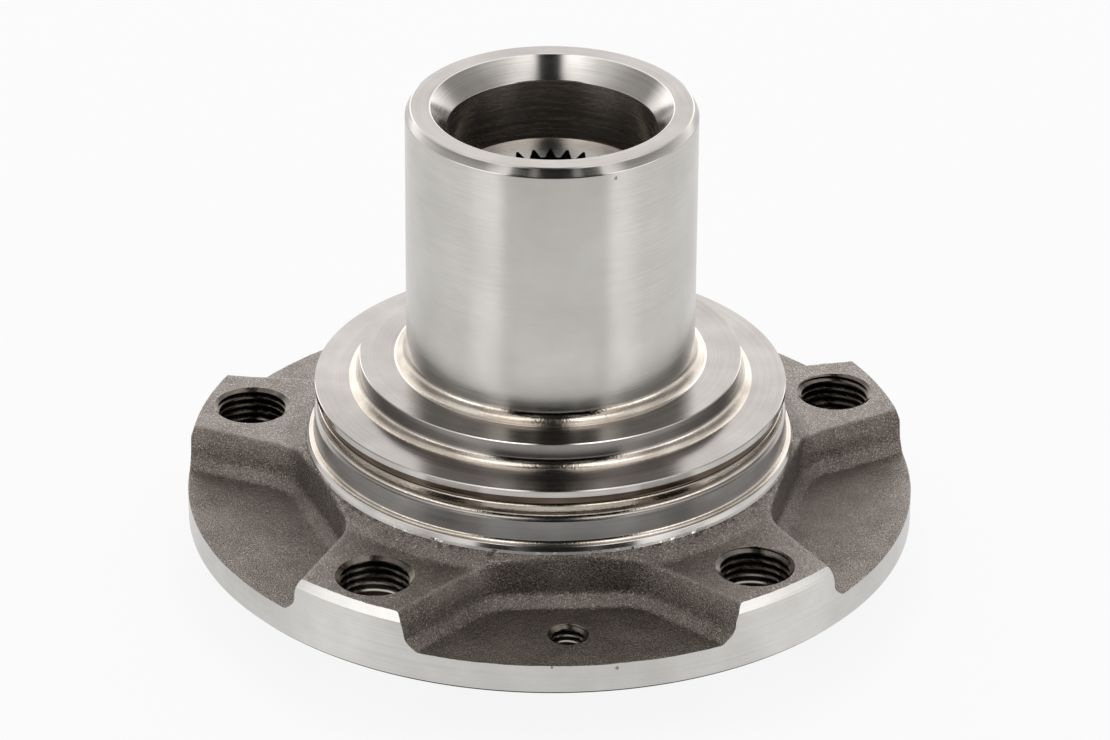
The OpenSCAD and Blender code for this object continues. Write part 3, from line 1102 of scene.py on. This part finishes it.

# %% [markdown]
# ## Finishes on the pieces
#
# Each piece gets its material, and where one piece has more finishes its faces are chosen by
# their place. The fillets and the lower groove get the form-turned finish. The upper groove is
# darkened with painted shade and the bore is oily. The lip, the funnel and the small chamfers are
# bright, and the edge breaks and the land's wall get the same bright colour as a painted highlight.

# %% Materials and broken edges
def give_faces(piece, material, test):
    """Gives a further material to the faces whose centre, as (radius, height), passes a test."""
    select_only(piece)
    piece.data.materials.append(material)
    index = len(piece.data.materials) - 1
    chosen = 0
    for face in piece.data.polygons:
        centre = face.center / MM
        if test(math.hypot(centre.x, centre.y), centre.z):
            face.material_index = index
            chosen += 1
    print(piece.name, material.name, chosen, "faces")


shoulder_seams = [(journal_foot_r, shoulder_z), (sleeve_r, root_z)]
for piece, material, seams in (
    (collar, turned_collar, [(sleeve_r, lip_z), (lip_r, lip_z), *shoulder_seams]),
    (journal, ground_seat, [(bore_r, bore_foot), (sleeve_r, sleeve_top), *shoulder_seams]),
    (pilot, turned_rim, [(pilot_r, 0), (recess_r, recess_top)]),
):
    piece.data.materials.append(material)
    break_edges(piece, seams)
print("edges broken on", collar.name, journal.name, pilot.name)

# %% Where each finish lies
# A fillet's last flats, next to the faces that it joins, look like those faces.
hair = 0.02
fillet_part = 0.95


def in_lip_side(radius, height):
    return height < band_z


def in_lip_fillet(radius, height):
    return band_z - hair < height < band_z + lip_fillet and radius > band_r + hair


def in_band(radius, height):
    return abs(radius - band_r) < hair and height < lower_groove_z + hair


def in_groove(radius, height):
    return radius < ridge_r + hair and lower_groove_z < height < land_foot


def in_upper_groove(radius, height):
    return radius < ridge_r - upper_groove_round and upper_groove_z < height < land_foot + hair


def on_land(radius, height):
    """The land's wall, and the broken edges of the land and of the shoulder, which take a painted
    highlight.
    """
    edge = radius > shoulder_r - edge_break and shoulder_z - edge_break < height < shoulder_z - hair
    return edge or radius > land_r - edge_break and land_foot < height < face_z - hair / 2


def in_shoulder_fillet(radius, height):
    size = shoulder_fillet * fillet_part
    across = shoulder_foot_r + hair < radius < shoulder_foot_r + size
    return across and face_z < height < face_z + face_rise + size


def in_root_fillet(radius, height):
    across = journal_r + hair < radius < journal_foot_r
    return across and shoulder_z + hair < height < shoulder_z + journal_fillet


def in_end(radius, height):
    """The lead-in chamfer, the end face, the funnel and the bore."""
    chamfer = height > journal_top - lead_in_len - edge_break
    return chamfer or radius < journal_r - 1 and height > shoulder_z


def on_top(radius, height):
    return height > journal_top - hair


def in_bore(radius, height):
    return radius < bore_r + hair and height < journal_top - funnel_depth


print("faces within", hair, "mm of a limit count as on it")

# %% Give the faces their finishes
give_faces(collar, bright_turned_and_painted_highlight, in_lip_side)
give_faces(collar, form_turned, in_lip_fillet)
give_faces(collar, seal_band, in_band)
give_faces(collar, form_turned, in_groove)
give_faces(collar, upper_groove_painted_shade, in_upper_groove)
# The land's wall and the edge breaks take the bright colour as a painted highlight.
give_faces(collar, bright_turned_and_painted_highlight, on_land)
give_faces(collar, form_turned, in_shoulder_fillet)
give_faces(journal, form_turned, in_root_fillet)
give_faces(journal, bright_turned_and_painted_highlight, in_end)
give_faces(journal, turned_collar, on_top)
give_faces(journal, oiled_bore, in_bore)

# %% Smooth shading
smooth_angle = math.radians(28)
for piece in (flange, collar, journal, pilot, sleeve):
    select_only(piece)
    bpy.ops.object.shade_smooth_by_angle(angle=smooth_angle)
    if piece is not flange:
        # Large faces keep their own direction, and only the small edge breaks are rounded.
        finish_with(piece, "WEIGHTED_NORMAL", keep_sharp=True, weight=100)
    print(piece.name, triangles(piece), "triangles")

# %% [markdown]
# ## Ride the frame
#
# The hub is one rigid body, so every piece rides on the root and stands for its CAD zone.

# %% Say what each piece is
for piece, node, slot in (
    (flange, "wheel_flange", "forged_steel"),
    (pilot, "wheel_pilot", "faced_steel"),
    (collar, "seal_collar", "turned_steel"),
    (journal, "bearing_journal", "ground_steel"),
    (sleeve, "splined_bore", "broached_steel"),
):
    piece.name = node + "_finished"
    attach(piece, "root")
    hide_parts(node)
    print(piece.name, "stands for", node)

# %% [markdown]
# ## Floor and light
#
# Bright steel shows what is round it. Every turned surface in the photograph is bright at its
# sides and has a darker band in the middle, as in a white tent that is open in front. The floor
# and the world give that band to glossy rays only, and the camera sees them white.

# %% The front wedge
def front_wedge(tree, place, inner, outer):
    """1 in a wedge ahead of the hub, towards -Y, and 0 outside; its limits are tangents."""
    parts = add_node(tree, "SeparateXYZ", {0: place})
    aside = add_node(tree, "Math", {0: parts.outputs[0]}, operation="ABSOLUTE")
    ahead = add_node(tree, "Math", {0: parts.outputs[1], 1: -1.0}, operation="MULTIPLY")
    tangent = add_node(tree, "Math", {0: aside, 1: ahead}, operation="DIVIDE")
    wedge = add_node(tree, "MapRange", {0: tangent, 1: inner, 2: outer, 3: 1.0, 4: 0.0})
    in_front = add_node(tree, "Math", {0: ahead, 1: 0.0}, operation="GREATER_THAN")
    return add_node(tree, "Math", {0: wedge, 1: in_front}, operation="MULTIPLY")


print("the wedge is ready")

# %% What the floor shows in a mirror
# It is nearly white, duller ahead of the hub and dark far ahead, and under the hub it has a
# painted shadow. The first two pairs are tangents that bound a wedge, and the others are distances
# in metres.
bright_wedge = (1.2, 2.4)
dull_wedge = (0.72, 0.95)
far_ahead = (0.18, 0.34)
painted_shadow_reach = (0.052, 0.060)
floor_paint, tree, shader = new_material("pale_floor")
tree.nodes.remove(shader)
place = add_node(tree, "TexCoord").outputs["Object"]
away = add_node(tree, "VectorMath", {0: place}, operation="LENGTH").outputs[1]
beside = add_node(tree, "Mix", {0: front_wedge(tree, place, *bright_wedge), 6: linear("#e9e9e9"),
                                7: linear("#ffffff")}, data_type="RGBA").outputs[2]
far = add_node(tree, "MapRange", {0: away, 1: far_ahead[0], 2: far_ahead[1]})
ahead = add_node(tree, "Mix", {0: far, 6: linear("#ededed"), 7: linear("#1c1c1c")},
                 data_type="RGBA").outputs[2]
mirrored = add_node(tree, "Mix", {0: front_wedge(tree, place, *dull_wedge), 6: beside, 7: ahead},
                    data_type="RGBA").outputs[2]
# Under the hub the mirrored floor turns dark: a painted shadow.
near = add_node(tree, "MapRange", {0: away, 1: painted_shadow_reach[0], 2: painted_shadow_reach[1], 3: 1.0, 4: 0.0})
mirrored = add_node(tree, "Mix", {0: near, 6: mirrored, 7: linear("#181818")},
                    data_type="RGBA").outputs[2]
print("the floor turns dark in a mirror from", far_ahead[0], "m ahead")

# %% A pale floor
# To the camera it is white by its own light, plus a little that shows the hub's shadow.
path = add_node(tree, "LightPath")
glossy = add_node(tree, "Emission", {"Color": mirrored, "Strength": 1.0})
seen = add_node(tree, "Emission", {"Color": linear("#fafafb"), "Strength": 0.945})
catcher = add_node(tree, "BsdfDiffuse", {"Color": linear("#404040")})
seen = add_node(tree, "AddShader", {0: seen, 1: catcher})
plain = add_node(tree, "BsdfDiffuse", {"Color": linear("#d8d8d8")})
bounce = add_node(tree, "MixShader", {0: path.outputs["Is Glossy Ray"], 1: plain, 2: glossy})
shown = add_node(tree, "MixShader", {0: path.outputs["Is Camera Ray"], 1: bounce, 2: seen})
feed(tree, tree.nodes["Material Output"], {"Surface": shown})
select_only()
bpy.ops.mesh.primitive_plane_add(size=4, location=(0, 0, pilot_foot * MM))
floor = bpy.context.object
floor.name = "floor"
floor.data.materials.append(floor_paint)
floor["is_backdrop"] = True
print("floor at", round(pilot_foot, 2), "mm")

# %% [markdown]
# ## White tent
#
# The world is a tent of white cloth round the hub. Its opening is a dark wedge in front that
# starts at the horizon and narrows upwards, between two bright edges. The cloth is brightest where
# the lamps are, and its sides are duller higher up. Heights are those of a direction of length 1.

# %% The cloth of the tent
world = bpy.data.worlds.new("white_tent")
bpy.context.scene.world = world
world.use_nodes = True
tree = world.node_tree
direction = add_node(tree, "TexCoord").outputs["Generated"]
parts = add_node(tree, "SeparateXYZ", {0: direction})
side, back, height = parts.outputs
dull = add_node(tree, "MapRange", {0: back, 1: 0.45, 2: 0.80, 3: 1.0, 4: 0.0})
for start, end, low, high in ((0.05, 0.35, 0.0, 1.0), (0.60, 0.72, 1.0, 0.35)):
    level = add_node(tree, "MapRange", {0: height, 1: start, 2: end, 3: low, 4: high})
    dull = add_node(tree, "Math", {0: dull, 1: level}, operation="MULTIPLY")
cloth = add_node(tree, "Mix", {0: dull, 6: linear("#fafafa"), 7: linear("#999999")},
                 data_type="RGBA").outputs[2]
print("the cloth has", len(tree.nodes), "nodes")

# %% The opening in front
limit = add_node(tree, "MapRange", {0: height, 1: 0.56, 2: 0.80, 3: 0.78, 4: 0.30})
inner, bright_from, bright_to = [
    add_node(tree, "Math", {0: limit, 1: width}, operation="ADD") for width in (-0.06, 0.22, 0.9)]
edges = front_wedge(tree, direction, bright_from, bright_to)
cloth = add_node(tree, "Mix", {0: edges, 6: cloth, 7: linear("#fafafa")},
                 data_type="RGBA").outputs[2]
# Two dim strips stand inside the opening, as from the edges of a grey screen half way up.
strips = add_node(tree, "Math", {0: front_wedge(tree, direction, 0.34, 0.42),
                                 1: front_wedge(tree, direction, 0.22, 0.30)},
                  operation="SUBTRACT")
for start, end in ((0.40, 0.46), (0.64, 0.58)):
    level = add_node(tree, "MapRange", {0: height, 1: start, 2: end})
    strips = add_node(tree, "Math", {0: strips, 1: level}, operation="MULTIPLY")
strips = add_node(tree, "MapRange", {0: strips, 3: 1.0, 4: 0.62})
opening = front_wedge(tree, direction, inner, limit)
above_floor = add_node(tree, "MapRange", {0: height, 1: -0.06, 2: -0.02})
for share in (above_floor, strips):
    opening = add_node(tree, "Math", {0: opening, 1: share}, operation="MULTIPLY")
print("the tent's opening is a wedge with", len(tree.nodes), "nodes so far")

# %% The lamps on the cloth
# They are overhead, in front near the floor, and behind.
overhead = add_node(tree, "MapRange", {0: height, 1: 0.78, 2: 0.84})
low = add_node(tree, "MapRange", {0: height, 1: 0.28, 2: 0.12})
ahead = add_node(tree, "MapRange", {0: back, 1: 0.0, 2: -0.25})
behind = add_node(tree, "MapRange", {0: back, 1: 0.5, 2: 0.8, 3: 1.2, 4: 1.95})
lamps = add_node(tree, "Math", {0: overhead, 1: low}, operation="MAXIMUM")
lamps = add_node(tree, "Math", {0: lamps, 1: ahead}, operation="MULTIPLY")
lamps = add_node(tree, "Math", {0: lamps, 1: 1.6, 2: behind}, operation="MULTIPLY_ADD")
cloth = add_node(tree, "Mix", {0: overhead, 6: cloth, 7: linear("#fafafa")},
                 data_type="RGBA").outputs[2]
cloth = add_node(tree, "VectorMath", {0: cloth, "Scale": lamps}, operation="SCALE")
# A dark strip goes on from the opening over the hub, between the lamps.
aside = add_node(tree, "Math", {0: side}, operation="ABSOLUTE")
strip = add_node(tree, "MapRange", {0: aside, 1: 0.20, 2: 0.10})
for value, start, end in ((height, 0.74, 0.82), (back, 0.40, 0.15)):
    level = add_node(tree, "MapRange", {0: value, 1: start, 2: end})
    strip = add_node(tree, "Math", {0: strip, 1: level}, operation="MULTIPLY")
dark = add_node(tree, "Math", {0: opening, 1: strip}, operation="MAXIMUM")
level = add_node(tree, "MapRange", {0: height, 1: 0.2, 2: 0.45})
shade = add_node(tree, "Mix", {0: level, 6: linear("#060606"), 7: linear("#262626")},
                 data_type="RGBA").outputs[2]
tent = add_node(tree, "Mix", {0: dark, 6: cloth, 7: shade}, data_type="RGBA").outputs[2]
# The camera sees plain white instead of the tent.
path = add_node(tree, "LightPath")
shown = add_node(tree, "Mix", {0: path.outputs["Is Camera Ray"], 6: tent, 7: linear("#fcfcfe")},
                 data_type="RGBA").outputs[2]
feed(tree, tree.nodes["Background"], {"Color": shown, "Strength": 1.0})
print("the tent has", len(tree.nodes), "nodes")

# %% A soft box above and behind
select_only()
box_place = Vector((0.0, 0.25, 0.7))
box_size = 0.7
box_power = 1.8
bpy.ops.object.light_add(type="AREA", location=box_place)
lamp = bpy.context.object
lamp.name = "top_soft_box"
lamp.rotation_euler = (-box_place).to_track_quat("-Z", "Y").to_euler()
lamp.data.shape = "SQUARE"
lamp.data.size = box_size
lamp.data.energy = box_power
lamp.visible_camera = False
lamp.visible_glossy = False
bpy.context.scene.view_settings.view_transform = "Standard"
print("lit by", world.name, "and", lamp.name)

# %% Measure the visual box, and finish
low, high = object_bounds()
print("visual box", [round(v, 4) for v in low], [round(v, 4) for v in high])
